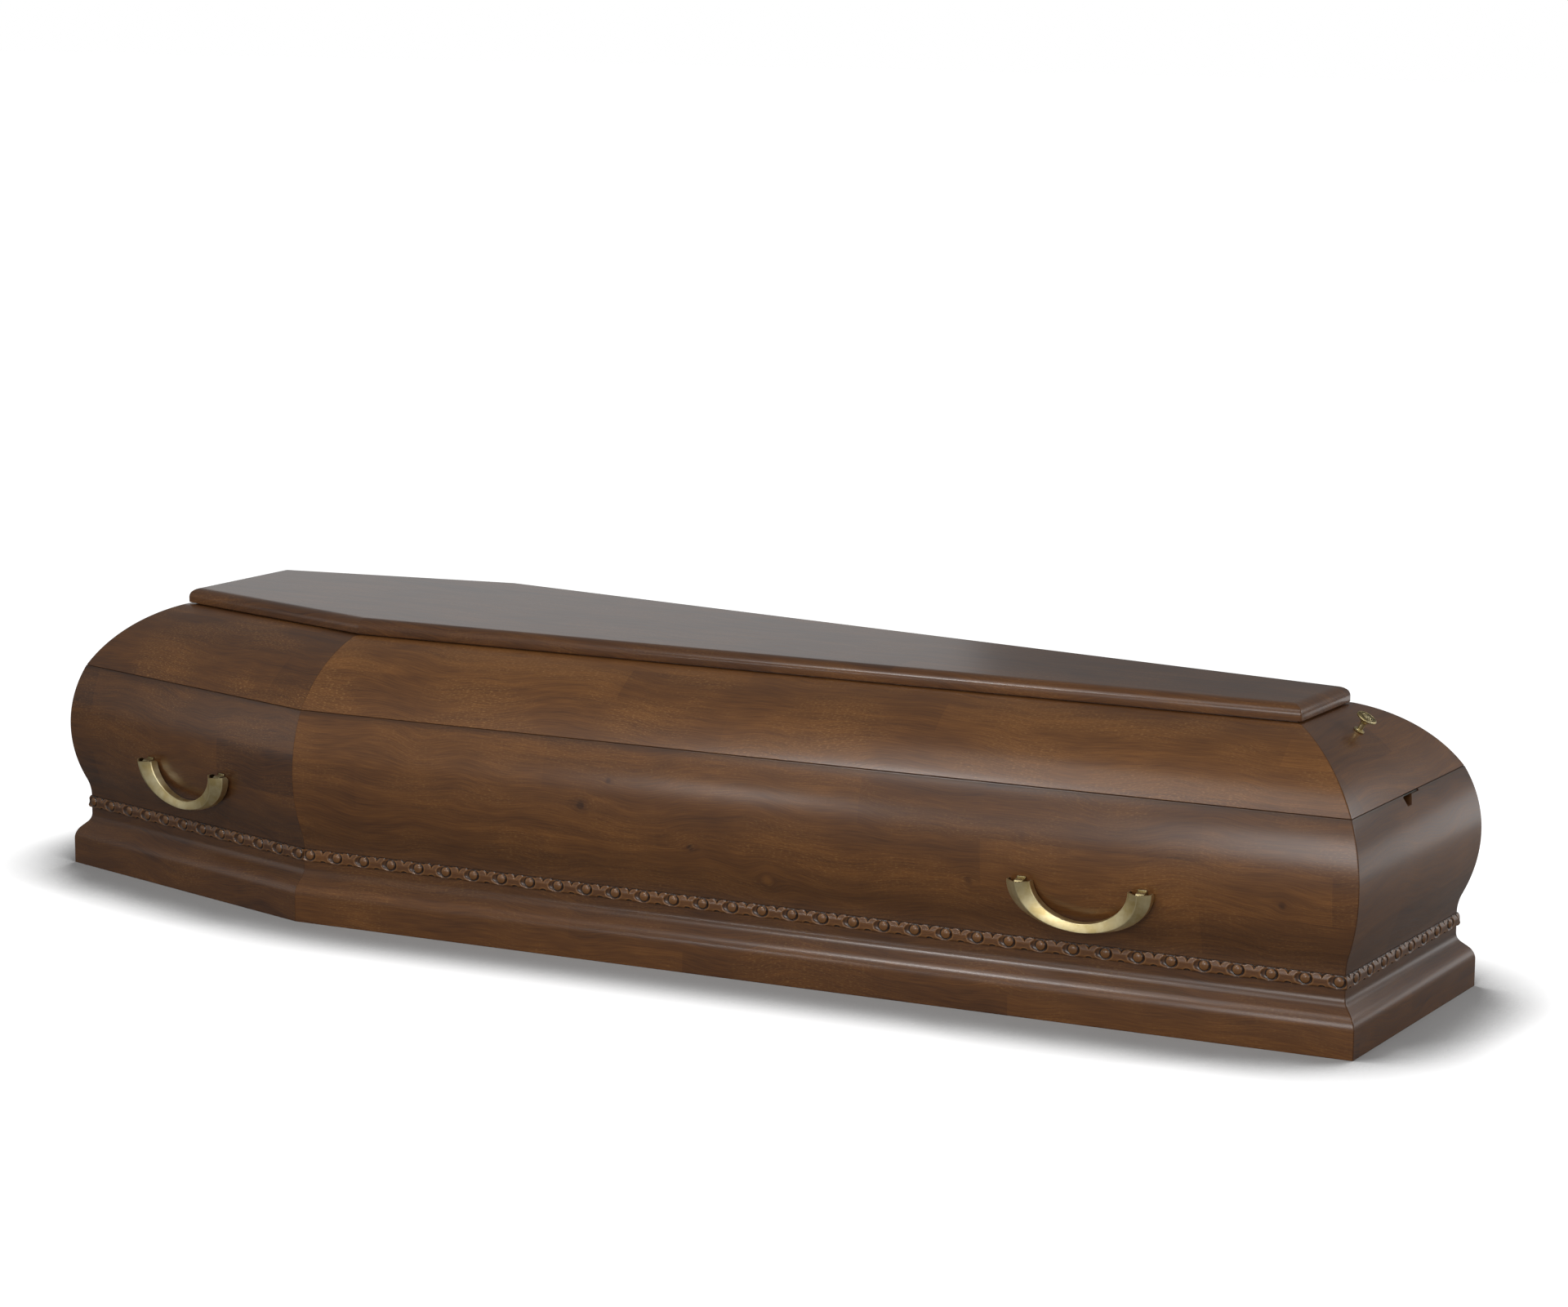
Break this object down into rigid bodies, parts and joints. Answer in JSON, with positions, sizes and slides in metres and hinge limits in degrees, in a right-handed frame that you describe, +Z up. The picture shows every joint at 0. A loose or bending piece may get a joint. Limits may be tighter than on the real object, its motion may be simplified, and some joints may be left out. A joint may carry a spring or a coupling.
{
  "type": "coffin",
  "caption": "Six-sided wooden coffin: bellied hollow box, moulded plinth, carved bead strip, curved lift-off lid and swinging brass bail handles",
  "frame": {"origin": "on the floor, under the middle of the coffin's bounding box", "axes": "+X to the foot end, +Z up, -Y to the left side as seen from the foot end"},
  "size_m": [2.0024, 0.6724, 0.404],
  "materials": {
    "stained_wood": "walnut-stained wood under satin lacquer",
    "antique_brass": "brushed antique brass with dark recesses",
    "dark_steel": "dark steel plate"
  },
  "bodies": {
    "coffin": {"bottom_board": "stained_wood", "lid_board": "stained_wood", "lid_foot_end": "stained_wood", "lid_head_end": "stained_wood", "lid_left_foot": "stained_wood", "lid_left_head": "stained_wood", "lid_right_foot": "stained_wood", "lid_right_head": "stained_wood", "lug_left_foot_a": "antique_brass", "lug_left_foot_b": "antique_brass", "lug_left_head_a": "antique_brass", "lug_left_head_b": "antique_brass", "lug_right_foot_a": "antique_brass", "lug_right_foot_b": "antique_brass", "lug_right_head_a": "antique_brass", "lug_right_head_b": "antique_brass", "nut_plate_foot_end": "dark_steel", "nut_plate_head_end": "dark_steel", "plinth_foot_end": "stained_wood", "plinth_head_end": "stained_wood", "plinth_left_foot": "stained_wood", "plinth_left_head": "stained_wood", "plinth_right_foot": "stained_wood", "plinth_right_head": "stained_wood", "screw_foot_end": "antique_brass", "screw_head_end": "antique_brass", "strip_foot_end": "stained_wood", "strip_head_end": "stained_wood", "strip_left_foot": "stained_wood", "strip_left_head": "stained_wood", "strip_right_foot": "stained_wood", "strip_right_head": "stained_wood", "wall_foot_end": "stained_wood", "wall_head_end": "stained_wood", "wall_left_foot": "stained_wood", "wall_left_head": "stained_wood", "wall_right_foot": "stained_wood", "wall_right_head": "stained_wood"},
    "handle_left_head": {"handle_left_head": "antique_brass"},
    "handle_left_foot": {"handle_left_foot": "antique_brass"},
    "handle_right_head": {"handle_right_head": "antique_brass"},
    "handle_right_foot": {"handle_right_foot": "antique_brass"}
  },
  "joints": [
    {"name": "handle_left_head_hinge", "type": "hinge", "parent": "coffin", "child": "handle_left_head", "pos_m": [-0.73778, -0.29023, 0.1755], "axis": [-0.9752, 0.2214, 0], "range_deg": [0, 80]},
    {"name": "handle_left_foot_hinge", "type": "hinge", "parent": "coffin", "child": "handle_left_foot", "pos_m": [0.64709, -0.24337, 0.173], "axis": [-0.9964, -0.0853, 0], "range_deg": [0, 80]},
    {"name": "handle_right_head_hinge", "type": "hinge", "parent": "coffin", "child": "handle_right_head", "pos_m": [-0.73778, 0.29023, 0.1755], "axis": [0.9752, 0.2214, 0], "range_deg": [0, 80]},
    {"name": "handle_right_foot_hinge", "type": "hinge", "parent": "coffin", "child": "handle_right_foot", "pos_m": [0.64709, 0.24337, 0.173], "axis": [0.9964, -0.0853, 0], "range_deg": [0, 80]}
  ]
}
